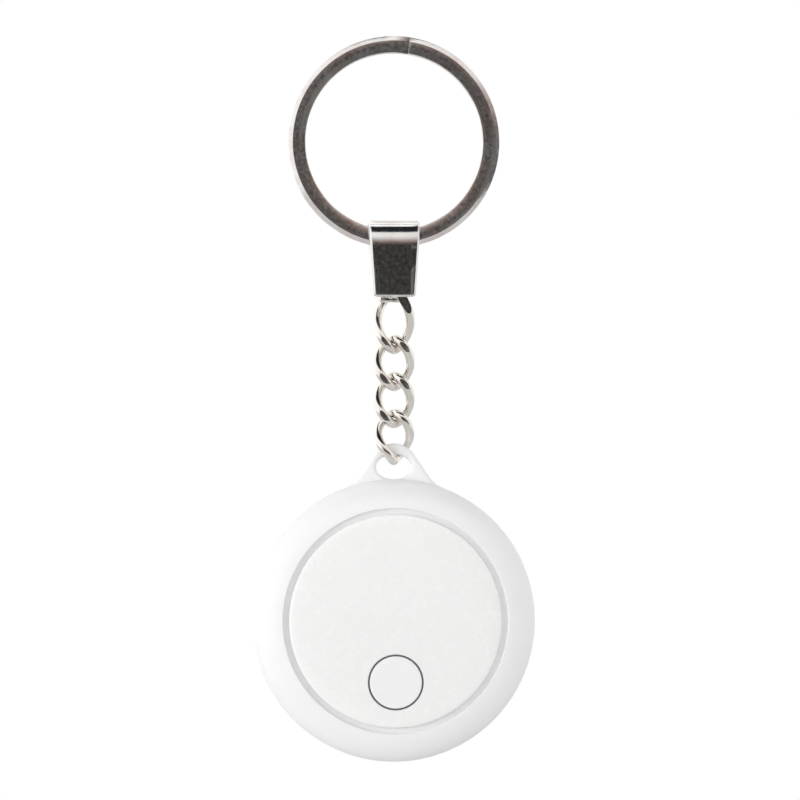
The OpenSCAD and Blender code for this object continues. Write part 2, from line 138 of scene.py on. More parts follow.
def rounded(corners, closed=True, steps=6):
    """An outline through corners, given as (across, up) or (across, up, radius) to round it."""
    count = len(corners)
    points = []
    for i, corner in enumerate(corners):
        here = Vector(corner[:2])
        radius = corner[2] if len(corner) > 2 else 0
        if radius == 0 or (not closed and i in (0, count - 1)):
            points.append(here)
            continue
        back = (Vector(corners[i - 1][:2]) - here).normalized()
        ahead = (Vector(corners[(i + 1) % count][:2]) - here).normalized()
        half = back.angle(ahead) / 2
        middle = here + (back + ahead).normalized() * radius / math.sin(half)
        start = (here + back * radius / math.tan(half) - middle).normalized()
        end = (here + ahead * radius / math.tan(half) - middle).normalized()
        points += [middle + radius * start.slerp(end, k / steps) for k in range(steps + 1)]
    return points + points[:1] if closed else points


def divided(points, longest):
    """The same outline with no step longer than longest, so that it can be curved later."""
    finer = [points[0]]
    for here, there in zip(points, points[1:]):
        parts = max(1, math.ceil((there - here).length / longest))
        finer += [here.lerp(there, k / parts) for k in range(1, parts + 1)]
    return finer


# %% From an outline to a solid
turn_steps = 240


def drawn(name, points):
    """A new piece, left in edit mode: one vertex extruded through the points."""
    bpy.ops.object.select_all(action="DESELECT")
    bpy.ops.mesh.primitive_plane_add(size=MM)
    piece = bpy.context.object
    piece.name = piece.data.name = name
    bpy.ops.object.mode_set(mode="EDIT")
    bpy.ops.mesh.select_mode(type="VERT")
    bpy.ops.mesh.select_all(action="SELECT")
    bpy.ops.mesh.merge(type="CENTER")
    bpy.ops.transform.translate(value=Vector(points[0]) * MM)
    for here, there in zip(points, points[1:]):
        step = (Vector(there) - Vector(here)) * MM
        bpy.ops.mesh.extrude_vertices_move(TRANSFORM_OT_translate={"value": step})
    return piece


def closed_up(piece):
    """Welds the piece's doubles, turns its faces outwards and leaves edit mode."""
    bpy.ops.mesh.select_mode(type="VERT")
    bpy.ops.mesh.select_all(action="SELECT")
    bpy.ops.mesh.remove_doubles(threshold=weld)
    bpy.ops.mesh.normals_make_consistent(inside=False)
    bpy.ops.object.mode_set(mode="OBJECT")
    return piece


def turned(name, outline, axis, steps=turn_steps):
    """Spins an outline of (radius, height) points a full turn about an axis along Y."""
    piece = drawn(name, [axis + Vector((r, -h, 0)) for r, h in outline])
    bpy.ops.mesh.select_all(action="SELECT")
    bpy.ops.mesh.spin(steps=steps, angle=2 * math.pi, center=axis * MM, axis=(0, 1, 0))
    return closed_up(piece)


# %% Choosing, cutting and finishing
def pick(piece, kind, wanted):
    """In edit mode, selects only the vertices, edges or faces that are wanted."""
    bpy.ops.mesh.select_mode(type={"verts": "VERT", "edges": "EDGE", "faces": "FACE"}[kind])
    bpy.ops.mesh.select_all(action="DESELECT")
    mesh = bmesh.from_edit_mesh(piece.data)
    chosen = [part for part in getattr(mesh, kind) if wanted(part)]
    for part in chosen:
        part.select_set(True)
    bmesh.update_edit_mesh(piece.data)
    return len(chosen)


def only(piece):
    """Makes the piece the one selected and active object."""
    bpy.ops.object.select_all(action="DESELECT")
    piece.select_set(True)
    bpy.context.view_layer.objects.active = piece


def combine(piece, tool, operation):
    """Cuts the tool out of the piece (DIFFERENCE) or joins it on (UNION), and removes the tool."""
    only(piece)
    modifier = piece.modifiers.new("combine", "BOOLEAN")
    modifier.operation = operation
    modifier.solver = "EXACT"
    modifier.object = tool
    bpy.ops.object.modifier_apply(modifier=modifier.name)
    bpy.data.objects.remove(tool)
    bpy.ops.object.mode_set(mode="EDIT")
    closed_up(piece)


def handed_over(piece, node, body, finish, sharp_from=35):
    """Shades the piece, gives it its finish, and puts it on its body in the CAD node's stead."""
    only(piece)
    bpy.ops.object.shade_smooth_by_angle(angle=math.radians(sharp_from))
    even = piece.modifiers.new("even shading", "WEIGHTED_NORMAL")
    even.keep_sharp = True
    bpy.ops.object.modifier_apply(modifier=even.name)
    piece.data.materials.clear()
    piece.data.materials.append(finish)
    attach(piece, body)
    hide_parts(node)
    piece.data.calc_loop_triangles()
    print(f"{piece.name}: {len(piece.data.loop_triangles)} triangles, on {body}")

# %% [markdown]
# ## Finishes
# Every finish is a Principled shader fed by noise on the piece's own coordinates, so that it
# stays put when the piece moves. Grain sizes and relief depths are in millimetres, which makes
# them easy to judge: a polished plate waves by a few thousandths, a moulded face by less.

# %% Nodes for a finish
def shader_of(name, **values):
    """A new finish and its shader, with uniform values set on the shader's own sockets."""
    finish = bpy.data.materials.new(name)
    finish.use_nodes = True
    shader = finish.node_tree.nodes["Principled BSDF"]
    for socket, value in values.items():
        shader.inputs[socket.replace("_", " ")].default_value = value
    return finish, shader


def node(tree, kind, inputs, **choices):
    """Adds a node to a tree, sets its choices, and gives each input a value or a link."""
    added = tree.nodes.new(kind)
    for choice, value in choices.items():
        setattr(added, choice, value)
    for socket, value in inputs.items():
        if isinstance(value, bpy.types.NodeSocket):
            tree.links.new(value, added.inputs[socket])
        else:
            added.inputs[socket].default_value = value
    return added


def grain(tree, size, detail=4, stretch=(1, 1, 1)):
    """Noise with grains about size millimetres across."""
    place = node(tree, "ShaderNodeTexCoord", {}).outputs["Object"]
    laid = node(tree, "ShaderNodeMapping", {"Vector": place, "Scale": stretch}).outputs["Vector"]
    inputs = {"Vector": laid, "Scale": 1 / (size * MM), "Detail": detail}
    return node(tree, "ShaderNodeTexNoise", inputs).outputs["Fac"]


def spread(tree, noise, low, high):
    """Noise spread from low to high. Most of it lies between 0.3 and 0.7."""
    inputs = {"Value": noise, "From Min": 0.3, "From Max": 0.7, "To Min": low, "To Max": high}
    return node(tree, "ShaderNodeMapRange", inputs).outputs["Result"]


def shades(tree, noise, *stops):
    """A colour ramp through stops of (position, colour)."""
    ramp = node(tree, "ShaderNodeValToRGB", {"Fac": noise})
    elements = ramp.color_ramp.elements
    while len(elements) < len(stops):
        elements.new(0.5)
    for element, (position, colour) in zip(elements, stops):
        element.position = position
        element.color = (*colour, 1)
    return ramp.outputs["Color"]


def relief(tree, noise, depth, over=None):
    """Bump of a depth in millimetres, on top of another bump if there is one."""
    inputs = {"Height": noise, "Distance": depth * MM}
    if over:
        inputs["Normal"] = over
    return node(tree, "ShaderNodeBump", inputs).outputs["Normal"]


def wire_up(tree, shader, **links):
    for socket, source in links.items():
        tree.links.new(source, shader.inputs[socket.replace("_", " ")])


# %% [markdown]
# ### Plated steel
# The ring, clasp and chain are nickel plated. They mirror the studio, so what shows is mostly
# reflection: a slow wave of the sheet bends it, and fine pits and a haze of handling break it up.

# %% Plated steel
def plated_steel(name, bright, dull, rough, wave, hairlines=(1, 1, 1)):
    finish, shader = shader_of(name, Metallic=1.0)
    tree = finish.node_tree
    clouds = grain(tree, 2.4, detail=3)
    haze = grain(tree, 0.5, detail=6)
    scratches = grain(tree, 0.09, detail=3, stretch=hairlines)
    waved = relief(tree, clouds, wave)
    pitted = relief(tree, haze, 0.0012, over=waved)
    wire_up(
        tree,
        shader,
        Base_Color=shades(tree, clouds, (0.30, dull), (0.62, bright)),
        Roughness=spread(tree, haze, rough * 0.6, rough * 1.5),
        Normal=relief(tree, scratches, 0.0003, over=pitted),
    )
    return finish


# %% [markdown]
# ### Moulded plastic
# The shells are white ABS with a soft satin. A mould leaves a fine even grain, and thick plastic
# lets a little light in, which takes the hardness off its edges.

# %% Moulded plastic
def moulded(name, colour, rough, depth, soft=0.0, gloss=0.0):
    shadow = tuple(0.988 * channel for channel in colour)
    finish, shader = shader_of(
        name,
        Subsurface_Weight=soft,
        Subsurface_Radius=(0.0009, 0.0008, 0.0007),
        Subsurface_Scale=1.0,
        Coat_Weight=gloss,
        Coat_Roughness=0.12,
        IOR=1.52,
    )
    tree = finish.node_tree
    clouds = grain(tree, 5.0, detail=2)
    skin = grain(tree, 0.10, detail=3)
    flow = grain(tree, 1.6, detail=3)
    wire_up(
        tree,
        shader,
        Base_Color=shades(tree, clouds, (0.30, shadow), (0.60, colour)),
        Roughness=spread(tree, flow, rough - 0.02, rough + 0.03),
        Normal=relief(tree, skin, depth),
    )
    return finish


# %% [markdown]
# ### What is inside
# The parts inside show only when the tag is opened, but each has the finish of the real one:
# solder mask over copper tracks, nickel and brass, sintered ceramic, rubber and amber tape.

# %% Board, ceramic, metal and tape
def solder_mask():
    finish, shader = shader_of("solder mask", Coat_Weight=0.4, Coat_Roughness=0.2)
    tree = finish.node_tree
    place = node(tree, "ShaderNodeTexCoord", {}).outputs["Object"]
    tipped = node(tree, "ShaderNodeMapping", {"Vector": place, "Rotation": (math.pi / 2, 0, 0)})
    tracks = node(
        tree,
        "ShaderNodeTexBrick",
        {
            "Vector": tipped.outputs["Vector"],
            "Color1": (0.008, 0.075, 0.030, 1),
            "Color2": (0.012, 0.095, 0.040, 1),
            "Mortar": (0.035, 0.210, 0.085, 1),
            "Scale": 260,
            "Mortar Size": 0.035,
            "Mortar Smooth": 0.3,
        },
        offset=0.37,
    )
    weave = grain(tree, 0.35, detail=3)
    raised = relief(tree, tracks.outputs["Fac"], 0.02)
    wire_up(
        tree,
        shader,
        Base_Color=tracks.outputs["Color"],
        Roughness=spread(tree, weave, 0.28, 0.45),
        Normal=relief(tree, weave, 0.004, over=raised),
    )
    return finish


def mottled(name, dark, light, rough, size, depth, **uniform):
    """A finish of two close shades with a grain of its own."""
    finish, shader = shader_of(name, **uniform)
    tree = finish.node_tree
    mottle = grain(tree, size, detail=5)
    fine = grain(tree, size / 6, detail=3)
    wire_up(
        tree,
        shader,
        Base_Color=shades(tree, mottle, (0.35, dark), (0.65, light)),
        Roughness=spread(tree, mottle, rough * 0.8, rough * 1.2),
        Normal=relief(tree, fine, depth),
    )
    return finish


# %% Every finish by its slot
finishes = {
    "ring_steel": plated_steel(
        "nickel plate, ring", (0.88, 0.87, 0.86), (0.76, 0.68, 0.65), 0.17, 0.035
    ),
    "clasp_steel": plated_steel(
        "nickel plate, clasp", (0.80, 0.79, 0.78), (0.70, 0.68, 0.66), 0.10, 0.008, (1, 1, 0.08)
    ),
    "chain_steel": plated_steel(
        "nickel plate, chain", (0.90, 0.87, 0.83), (0.80, 0.75, 0.70), 0.10, 0.012
    ),
    "white_plastic": moulded("white shell", (0.93, 0.93, 0.93), 0.36, 0.0012, 0.15, 0.15),
    "face_plastic": moulded("white face", (0.955, 0.955, 0.945), 0.26, 0.0006, 0.10, 0.30),
    "button_plastic": moulded("white button", (0.955, 0.955, 0.95), 0.30, 0.0008, 0.10, 0.20),
    "grey_silicone": mottled(
        "grey silicone", (0.12, 0.12, 0.125), (0.17, 0.17, 0.175), 0.55, 0.6, 0.003
    ),
    "black_rubber": mottled(
        "black rubber", (0.018, 0.018, 0.019), (0.035, 0.035, 0.037), 0.7, 0.8, 0.006
    ),
    "board_green": solder_mask(),
    "black_plastic": mottled(
        "black plastic", (0.014, 0.014, 0.016), (0.028, 0.028, 0.030), 0.5, 1.2, 0.004
    ),
    "cell_steel": mottled(
        "cell can", (0.52, 0.52, 0.53), (0.66, 0.66, 0.66), 0.28, 1.5, 0.002, Metallic=1.0
    ),
    "contact_brass": mottled(
        "phosphor bronze", (0.55, 0.36, 0.16), (0.72, 0.50, 0.24), 0.25, 1.0, 0.002, Metallic=1.0
    ),
    "ceramic_white": mottled(
        "white ceramic", (0.70, 0.69, 0.66), (0.82, 0.81, 0.78), 0.45, 0.5, 0.004
    ),
    "ceramic_tan": mottled(
        "tan ceramic", (0.36, 0.24, 0.15), (0.48, 0.34, 0.22), 0.5, 0.3, 0.004
    ),
    "led_lens": mottled(
        "led lens",
        (0.80, 0.80, 0.62),
        (0.88, 0.87, 0.72),
        0.12,
        0.5,
        0.001,
        Transmission_Weight=0.5,
    ),
    "tape_amber": mottled(
        "amber tape", (0.52, 0.24, 0.03), (0.66, 0.34, 0.06), 0.25, 2.0, 0.003, Coat_Weight=0.5
    ),
}
print(len(finishes), "finishes made")

# %% [markdown]
# ### CAD parts that stay
# A turned can, a chip or a punched contact is already exact in CAD, so it keeps its mesh and only
# its slot's material changes. The outer pieces get theirs as they are made.

# %% Finishes for the CAD parts
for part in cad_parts.values():
    for material_slot in part.material_slots:
        material_slot.material = finishes[material_slot.material.name]

# %% [markdown]
# ## The split ring
# A split ring is one flat strip wound through two turns, so that its two ends lie where it
# crosses from the front turn to the rear one. It could be two separate washers, but then nothing
# would join them. Here the strip's section is spun round the front turn, carried back a little at
# each step of the crossing, and spun round the rear turn. The strip's outer edge has a wide
# shallow chamfer, which mirrors another part of the room than the ring's face does.

# %% The strip's section
ring_band = 2.45
ring_gap = 0.1
ring_crown = 0.09
chamfer_wide = 0.62
chamfer_deep = 0.16
ring_in = ring_r - ring_band
turn_mid = (ring_half + ring_gap / 2) / 2
turn_half = (ring_half - ring_gap / 2) / 2


def crowned(across, up):
    """Lifts the strip's outer face by up to ring_crown in the middle of the band."""
    share = (across - ring_in) / ring_band * 2 - 1
    return up - ring_crown * share * share if up > turn_mid else up


strip = rounded(
    [
        (ring_in, turn_mid - turn_half, 0.12),
        (ring_r, turn_mid - turn_half, 0.12),
        (ring_r, turn_mid + turn_half - chamfer_deep, 0.05),
        (ring_r - chamfer_wide, turn_mid + turn_half, 0.12),
        (ring_in, turn_mid + turn_half, 0.15),
    ],
    steps=8,
)
strip = [Vector((p.x, crowned(p.x, p.y))) for p in divided(strip, 0.2)]
print(len(strip), "points round the strip")

# %% The two turns and their crossing
cross_at = math.radians(15)
cross_angle = 3.4 / ((ring_in + ring_r) / 2)
turn_angle = 2 * math.pi - cross_angle
tip_share = 0.06
tip_thickness = 0.06


def at_angle(p, angle):
    """A point of the section, at an angle clockwise from the top as seen from the front."""
    return Vector((p.x * math.sin(angle), -p.y, p.x * math.cos(angle)))


def squeeze(ratio, height):
    """Thins the selected section towards a plane across the ring's axis."""
    middle = (0, -height * MM, 0)
    bpy.ops.transform.resize(value=(1, ratio, 1), center_override=middle)


def carry(angle, steps=1, sink=0):
    """Spins the selected section on, clockwise from the front, and sinks it towards the rear."""
    bpy.ops.mesh.spin(steps=steps, angle=angle, center=(0, 0, 0), axis=(0, 1, 0))
    if sink:
        bpy.ops.transform.translate(value=(0, sink * MM, 0))


def carry_wedge(height, first, last, steps=12):
    """Carries a free end over or under the crossing, its thickness going from first to last."""
    for k in range(steps):
        before = first + (last - first) * k / steps
        after = first + (last - first) * (k + 1) / steps
        carry((1 - tip_share) * cross_angle / steps)
        squeeze(after / before, height)


tip_angle = cross_at + (tip_share - 0.5) * cross_angle
split_ring = drawn("split_ring", [at_angle(p, tip_angle) for p in strip])
bpy.ops.mesh.select_all(action="SELECT")
bpy.ops.mesh.remove_doubles(threshold=weld)
squeeze(tip_thickness, ring_half)
carry_wedge(ring_half, tip_thickness, 1)
carry(turn_angle, steps=230)
for step in range(12):
    carry(cross_angle / 12, sink=2 * turn_mid / 12)
carry(turn_angle, steps=230)
carry_wedge(-ring_half, 1, tip_thickness)
bpy.ops.mesh.select_all(action="SELECT")
bpy.ops.mesh.fill_holes(sides=0)
closed_up(split_ring)
handed_over(split_ring, "key_ring", "ring", finishes["ring_steel"])

# %% [markdown]
# ## The folded clasp
# The clasp is one strip of sheet, folded over the ring, pinched shut behind and stepped back to
# a tongue that carries the chain. Its middle surface is drawn as a side profile and extruded
# across in columns, so that it can be narrowed as the blank was cut. Solidify then gives it the
# sheet's thickness, and a wide bevel with a fine one after it coins its sheared edges.

# %% The clasp's side profile
sheet = 0.65
clasp_half = clasp_high.x
foot_half = 2.985
tongue_half = 2.1
fold_depth = -clasp_low.y - sheet / 2
fold_top = clasp_high.z - sheet / 2
front_fold = 3.2
plate_low = clasp_high.z - 10.85
tongue_low = clasp_low.z
rear_z = fold_top - fold_depth
pinch = Vector((-fold_depth + sheet + 0.02, rear_z - 4.3))
neck_z = pinch.y - 0.8
tongue_z = pinch.y - 2.1

quarter = [math.radians(90 * k / 20) for k in range(21)]
over_ring = [
    Vector((-fold_depth * math.cos(a), fold_top - front_fold + front_fold * math.sin(a)))
    for a in quarter
]
behind_ring = [
    Vector((fold_depth * math.sin(a), rear_z + fold_depth * math.cos(a))) for a in quarter[1:]
]
rear_run = rounded(
    [
        (fold_depth, rear_z - 0.1),
        (fold_depth, rear_z - 1.5, 0.7),
        (pinch.x, pinch.y, 0.7),
        (pinch.x, neck_z, 0.7),
        (0, tongue_z, 0.7),
        (0, tongue_low),
    ],
    closed=False,
)
front_run = [Vector((-fold_depth, plate_low)), Vector((-fold_depth, plate_low + 0.6))]
profile = divided(front_run + over_ring + behind_ring + rear_run, 0.6)
strip_long = sum((b - a).length for a, b in zip(profile, profile[1:]))
print(f"the folded strip is {strip_long:.1f} mm long")

# %% The blank's outline and the fold
shoulder = 1.0


def half_width(y, z):
    """Half the strip's width at a point of its profile."""
    taper = (clasp_high.z - z) / (clasp_high.z - plate_low)
    side = clasp_half + (foot_half - clasp_half) * min(1, taper)
    if y < pinch.x - 0.2 or z > neck_z:
        return side
    return tongue_half + (side - tongue_half) * max(0, 1 - (neck_z - z) / shoulder)


def across_clasp(start, end):
    step = (end - start) * MM
    bpy.ops.mesh.extrude_region_move(TRANSFORM_OT_translate={"value": (step, 0, 0)})


columns = [-clasp_half, -tongue_half, 0, tongue_half, clasp_half]
clasp = drawn("folded_clasp", [Vector((columns[0], p.x, p.y)) for p in profile])
bpy.ops.mesh.select_all(action="SELECT")
for start, end in zip(columns, columns[1:]):
    across_clasp(start, end)
bpy.ops.object.mode_set(mode="OBJECT")
for vertex in clasp.data.vertices:
    if abs(vertex.co.x) > (tongue_half + 0.1) * MM:
        side = half_width(vertex.co.y / MM, vertex.co.z / MM)
        vertex.co.x = math.copysign(side * MM, vertex.co.x)

# %% Round corners and thickness
bpy.ops.object.mode_set(mode="EDIT")
bpy.ops.mesh.select_all(action="SELECT")
bpy.ops.mesh.remove_doubles(threshold=weld)
bpy.ops.mesh.normals_make_consistent(inside=False)


def is_foot_corner(vertex):
    low = vertex.co.z < (plate_low + 0.05) * MM and vertex.co.y < -(fold_depth - 0.1) * MM
    return low and abs(vertex.co.x) > (tongue_half + 0.1) * MM


print("rounding", pick(clasp, "verts", is_foot_corner), "corners of the front plate")
bpy.ops.mesh.bevel(offset=0.5 * MM, segments=6, affect="VERTICES")
bpy.ops.object.mode_set(mode="OBJECT")
thickness = clasp.modifiers.new("thickness", "SOLIDIFY")
thickness.thickness = sheet * MM
thickness.offset = 0
thickness.use_even_offset = True
only(clasp)
bpy.ops.object.modifier_apply(modifier=thickness.name)

# %% The slot that leaves the tongue's bar
slot_half = 1.55
slot_low = tongue_low + 0.72
slot_high = tongue_z - 0.1

bpy.ops.object.select_all(action="DESELECT")
bpy.ops.mesh.primitive_cube_add(size=1, location=(0, 0, (slot_low + slot_high) / 2 * MM))
slot_tool = bpy.context.object
slot_tool.scale = (2 * slot_half * MM, 2 * MM, (slot_high - slot_low) * MM)
bpy.ops.object.transform_apply(location=True, rotation=True, scale=True)
bpy.ops.object.mode_set(mode="EDIT")
pick(slot_tool, "edges", lambda e: abs(e.verts[0].co.y - e.verts[1].co.y) > MM)
bpy.ops.mesh.bevel(offset=0.8 * MM, segments=6, affect="EDGES")
bpy.ops.object.mode_set(mode="OBJECT")
combine(clasp, slot_tool, "DIFFERENCE")

# %% Coined edges
for width, segments, sharper in ((0.27, 1, 50), (0.03, 2, 30)):
    coined = clasp.modifiers.new("coined edges", "BEVEL")
    coined.use_clamp_overlap = False
    coined.width = width * MM
    coined.segments = segments
    coined.limit_method = "ANGLE"
    coined.angle_limit = math.radians(sharper)
    only(clasp)
    bpy.ops.object.modifier_apply(modifier=coined.name)
handed_over(clasp, "clasp", "clasp", finishes["clasp_steel"])

# %% [markdown]
# ## The curb links
# A curb link is a ring of wire, squeezed to an oval and twisted so that it lies flat against its
# neighbours, then ground on its front and back. Scaling a torus would squeeze its wire too. So
# the wire's middle line is drawn by a rule, becomes a curve with a round section, and the flats
# are cut by two planes.

# %% One link's middle line
wire = 1.35
half_across = (6.0 - wire) / 2
line_steps = 112


def middle_line(top, bottom, upper, lower):
    """The twisted oval that a link's wire follows. Its ends turn upper one way, lower the other."""
    middle = (top + bottom) / 2
    half_long = (top - bottom - wire) / 2
    points = []
    for k in range(line_steps + 1):
        t = 2 * math.pi * k / line_steps
        turn = math.radians((lower - upper) / 2 - (lower + upper) / 2 * math.sin(t))
        x = half_across * math.cos(t)
        z = middle + half_long * math.sin(t)
        points.append(Vector((x * math.cos(turn), x * math.sin(turn), z)))
    return points


# %% From the line to a ground link
flat_half = 1.42
flat_edge = 0.05


def ground(piece, side, above):
    """Cuts a flat across what stands out beyond it, where the link is above a height."""
    bpy.ops.object.mode_set(mode="EDIT")
    pick(piece, "faces", lambda face: face.calc_center_median().z > above * MM)
    plane = (0, side * flat_half * MM, 0)
    bpy.ops.mesh.bisect(plane_co=plane, plane_no=(0, side, 0), clear_outer=True, threshold=1e-7)
    pick(piece, "edges", lambda edge: edge.is_boundary)
    bpy.ops.mesh.fill_holes(sides=0)
    flats = pick(
        piece,
        "faces",
        lambda face: abs(face.normal.y) > 0.999
        and abs(face.calc_center_median().y - plane[1]) < weld,
    )
    bpy.ops.mesh.region_to_loop()
    bpy.ops.mesh.bevel(offset=flat_edge * MM, segments=2, affect="EDGES")
    bpy.ops.object.mode_set(mode="OBJECT")
    return flats


def curb_link(name, upper=45, lower=45, ground_above=None):
    low, high = box_mm(name)
    piece = drawn(f"curb_{name}", middle_line(high.z, low.z, upper, lower))
    bpy.ops.mesh.select_all(action="SELECT")
    bpy.ops.mesh.remove_doubles(threshold=weld)
    bpy.ops.object.mode_set(mode="OBJECT")
    only(piece)
    bpy.ops.object.convert(target="CURVE")
    piece = bpy.context.object
    piece.data.bevel_depth = wire / 2 * MM
    piece.data.bevel_resolution = 10
    bpy.ops.object.convert(target="MESH")
    piece = bpy.context.object
    bpy.ops.object.mode_set(mode="EDIT")
    closed_up(piece)
    above = low.z - 1 if ground_above is None else ground_above
    flats = ground(piece, -1, above) + ground(piece, 1, above)
    print(f"{piece.name} has {flats} flats")
    handed_over(piece, name, name, finishes["chain_steel"], sharp_from=30)


# %% The chain
last_low, last_high = box_mm("link_4")
curb_link("link_1", upper=60)
curb_link("link_2")
curb_link("link_3")
curb_link("link_4", lower=72, ground_above=(last_low.z + last_high.z) / 2)

# %% [markdown]
# ## The bezel
# The bezel is the tag's front shell: a soft shoulder that falls from a groove round the face to
# the rim, with a skirt inside that plugs into the case. It is a true turned shape, so one outline
# and one spin make it. The shoulder is a quarter of an oval, which a rounded corner can't draw.

# %% The bezel's outline
groove_r = face_r + 0.9
lip_h = -bezel_low.y
skirt_out = 18.45
skirt_in = 17.55
ledge_r = 12.9
ledge_low = ledge_h - 0.8
first_angle = math.radians(12)
last_angle = math.radians(78)
shoulder_steps = 36

oval_r = (tag_r - groove_r) / (math.sin(last_angle) - math.sin(first_angle))
oval_h = (lip_h - part_h) / (math.cos(first_angle) - math.cos(last_angle))
shoulder_curve = []
for k in range(shoulder_steps + 1):
    a = first_angle + (last_angle - first_angle) * k / shoulder_steps
    across = groove_r + oval_r * (math.sin(a) - math.sin(first_angle))
    up = lip_h + oval_h * (math.cos(a) - math.cos(first_angle))
    shoulder_curve.append((across, up))

bezel_outline = rounded(
    [
        (*shoulder_curve[0], 0.10),
        *shoulder_curve[1:-1],
        (*shoulder_curve[-1], 0.10),
        (skirt_out, part_h),
        (skirt_out, -bezel_high.y),
        (skirt_in, -bezel_high.y),
        (skirt_in, ledge_low - 0.3),
        (skirt_in - 0.8, ledge_low),
        (ledge_r, ledge_low),
        (ledge_r, ledge_h),
        (groove_r, ledge_h, 0.08),
    ]
)

# %% The bezel and what it carries
post_r = 15.2
board_top = 0.9
stake_angles = (20, 160, 200, 340)


def disc(name, axis, radius, low, high, corner=0.0):
    """A turned disc between two heights, with its front corner rounded."""
    outline = rounded([(0, high), (radius, high, corner), (radius, low), (0, low)], closed=False)
    return turned(name, divided(outline, 0.8), axis, steps=96)


def at_post(angle, radius=post_r):
    turn = math.radians(angle)
    return tag_axis + Vector((radius * math.cos(turn), 0, radius * math.sin(turn)))


bezel = turned("bezel_shell", bezel_outline, tag_axis)
stakes = [disc("stake", at_post(angle), 0.8, board_top, ledge_low + 0.1) for angle in stake_angles]
only(stakes[0])
for stake in stakes:
    stake.select_set(True)
bpy.ops.object.join()
combine(bezel, stakes[0], "UNION")
relieved = disc("relieved", button_axis, seal_high.x + 0.55, ledge_low - 1, ledge_h + 0.01)
combine(bezel, relieved, "DIFFERENCE")
handed_over(bezel, "front_bezel", "tag", finishes["white_plastic"])

# %% [markdown]
# ## The face, its button and the seal
# The face is flat in the middle and rolls over at its edge, and the button is a piece of that
# same surface. All three pieces are made flat and then pressed to one crown, so they stay flush.
# The button's hole is off centre. A Boolean would leave long thin faces there, which show in
# gloss, so the rim and the hole are spun as two bands and bridged with even faces.

# %% One crown for all three
edge_h = front_h - 0.6


def press_to_crown(piece):
    """Moves what stands above the ledge to the face's crown, in proportion to its height."""
    for vertex in piece.data.vertices:
        height = -vertex.co.y / MM
        if height > ledge_h:
            radius = math.hypot(vertex.co.x, vertex.co.z - tag_z * MM) / MM
            roll = math.sqrt(max(0, 1 - (radius / face_r) ** 4))
            face_h = edge_h + (front_h - edge_h) * roll
            share = (height - ledge_h) / (front_h - ledge_h)
            vertex.co.y = -(ledge_h + share * (face_h - ledge_h)) * MM


# %% The face's two bands and the bridge between them
button_r = 3.7
seal_out = 3.95
hole_edge = 0.10
rim_from = 13.2
rim_steps = 18

rim_first = math.asin(rim_from / face_r)
rim_angles = [rim_first + (math.pi / 2 - rim_first) * k / rim_steps for k in range(rim_steps + 1)]
rim_outline = [(face_r * math.sin(a), front_h) for a in rim_angles]
rim_outline += [(face_r, ledge_h), (rim_from, ledge_h)]
hole_outline = rounded(
    [
        (seal_out + hole_edge, front_h),
        (seal_out, front_h, hole_edge * 0.9),
        (seal_out, ledge_h),
    ],
    closed=False,
)

face = turned("face_plate", rim_outline, tag_axis)
hole = turned("hole", hole_outline, button_axis)
only(face)
hole.select_set(True)
bpy.ops.object.join()
bpy.ops.object.mode_set(mode="EDIT")
for height in (front_h, ledge_h):
    pick(
        face,
        "edges",
        lambda e: e.is_boundary and all(abs(v.co.y / MM + height) < 0.01 for v in e.verts),
    )
    bpy.ops.mesh.bridge_edge_loops(number_cuts=30, interpolation="LINEAR")
closed_up(face)
press_to_crown(face)
handed_over(face, "face_disc", "tag", finishes["face_plastic"])

# %% The button and its seal
flange_h = ledge_h - 0.28
flange_low = ledge_h - 0.6
seal_in = button_r + 0.08
seal_sunk = 0.12

button_outline = rounded(
    [
        (0, front_h),
        (button_r, front_h, 0.10),
        (button_r, flange_h),
        (button_r + 0.8, flange_h),
        (button_r + 0.8, flange_low),
        (0, flange_low),
    ],
    closed=False,
)
button = turned("button_top", divided(button_outline, 0.4), button_axis)
press_to_crown(button)
handed_over(button, "button_cap", "button", finishes["button_plastic"])

seal_outline = rounded(
    [
        (seal_in, front_h - seal_sunk, 0.04),
        (seal_out, front_h - seal_sunk, 0.04),
        (seal_out, ledge_h),
        (seal_high.x, ledge_h, 0.05),
        (seal_high.x, -seal_high.y, 0.05),
        (seal_in, -seal_high.y),
    ]
)
seal = turned("seal_ring", seal_outline, button_axis)
press_to_crown(seal)
handed_over(seal, "button_seal", "tag", finishes["grey_silicone"])

# %% [markdown]
# ## The case back and its lug
# The case back is turned too, but the lug that the chain passes through is not: its flanks fall
# from a round top and run into the case in a hollow curve. The lug is drawn as a flat outline
# with its hole, and becomes a filled curve with a depth and a round bevel, so that the last link
# meets a smooth rim. A Boolean then joins it to the case.

# %% The turned case
wall = 1.4
corner_r = 3.0
recess_r = 13.5
seat_h = back_h + 1.4

case_outline = rounded(
    [
        (tag_r - wall, part_h),
        (tag_r, part_h, 0.08),
        (tag_r, back_h, corner_r),
        (recess_r, back_h, 0.12),
        (recess_r, seat_h),
        (recess_r - 1.2, seat_h),
        (recess_r - 1.2, seat_h + 1),
        (recess_r + 1.2, seat_h + 1),
        (recess_r + 1.2, seat_h),
        (tag_r - wall, seat_h, corner_r - wall),
    ],
    steps=14,
)
pin_outline = rounded(
    [
        (0, board_top - 0.1),
        (0.5, board_top - 0.1, 0.1),
        (0.5, 0.1),
        (0.9, 0.1),
        (0.9, seat_h - 0.1),
        (0, seat_h - 0.1),
    ],
    closed=False,
)
case = turned("case_back", case_outline, tag_axis)
posts = [turned("post", pin_outline, at_post(angle), 48) for angle in (45, 135, 225, 315)]

